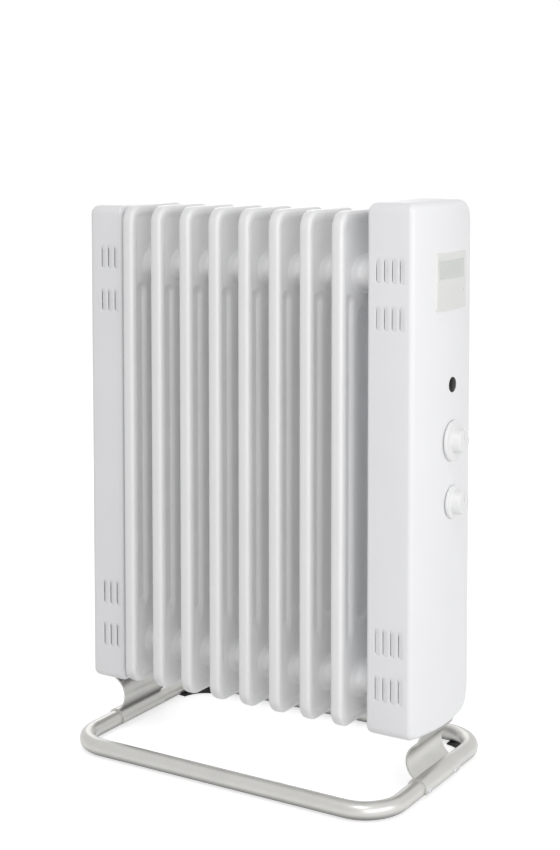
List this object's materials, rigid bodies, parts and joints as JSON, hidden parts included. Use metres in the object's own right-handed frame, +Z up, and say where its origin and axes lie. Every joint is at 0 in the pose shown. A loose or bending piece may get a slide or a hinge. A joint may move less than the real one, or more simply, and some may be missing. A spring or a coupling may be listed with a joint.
{
  "type": "oil filled radiator heater",
  "caption": "White oil filled radiator heater with upright fins, louvred end covers, control knobs and a bent tube stand.",
  "frame": {"origin": "on the floor, under the middle of the overall box", "axes": "+Z up, +X along the stack of fins towards the controls, -Y towards the front"},
  "size_m": [0.4762, 0.2804, 0.667],
  "materials": {
    "black_lens": "gloss black",
    "black_rubber": "matt black",
    "board_plastic": "circuit board green",
    "brass": "machined",
    "cover_enamel": "satin white powder coat",
    "dark_plastic": "moulded black",
    "element_steel": "heat-darkened stainless",
    "fin_enamel": "gloss white powder coat",
    "panel_plastic": "light grey, slightly clear",
    "stand_enamel": "satin silver-grey paint",
    "white_plastic": "gloss white",
    "window_plastic": "clear grey window",
    "zinc_sheet": "bright zinc plate"
  },
  "bodies": {
    "heater": {"cable_gland": "black_rubber", "control_cover": "cover_enamel", "display_board": "board_plastic", "display_panel": "panel_plastic", "display_window": "window_plastic", "element_head": "brass", "fin_1": "fin_enamel", "fin_2": "fin_enamel", "fin_3": "fin_enamel", "fin_4": "fin_enamel", "fin_5": "fin_enamel", "fin_6": "fin_enamel", "fin_7": "fin_enamel", "fin_8": "fin_enamel", "heat_shield": "zinc_sheet", "heating_element": "element_steel", "indicator_lens": "black_lens", "lamp_holder": "dark_plastic", "left_bracket": "zinc_sheet", "left_end_cover": "cover_enamel", "left_neck_plugs": "fin_enamel", "left_saddle": "stand_enamel", "oil_filler_plug": "fin_enamel", "right_saddle": "stand_enamel", "rubber_feet": "black_rubber", "saddle_bolts": "zinc_sheet", "selector_switch": "dark_plastic", "stand_loop": "stand_enamel", "terminal_block": "dark_plastic", "thermal_cutout": "dark_plastic", "thermostat_body": "dark_plastic", "tilt_switch": "dark_plastic"},
    "selector_dial": {"selector_knob": "white_plastic", "selector_shaft": "zinc_sheet"},
    "thermostat_dial": {"thermostat_knob": "white_plastic", "thermostat_shaft": "zinc_sheet"}
  },
  "joints": [
    {"name": "selector_turn", "type": "hinge", "parent": "heater", "child": "selector_dial", "pos_m": [0.222, 0, 0.3992], "axis": [-1, 0, 0], "range_deg": [0, 270]},
    {"name": "thermostat_turn", "type": "hinge", "parent": "heater", "child": "thermostat_dial", "pos_m": [0.222, 0, 0.3301], "axis": [-1, 0, 0], "range_deg": [0, 270]}
  ]
}
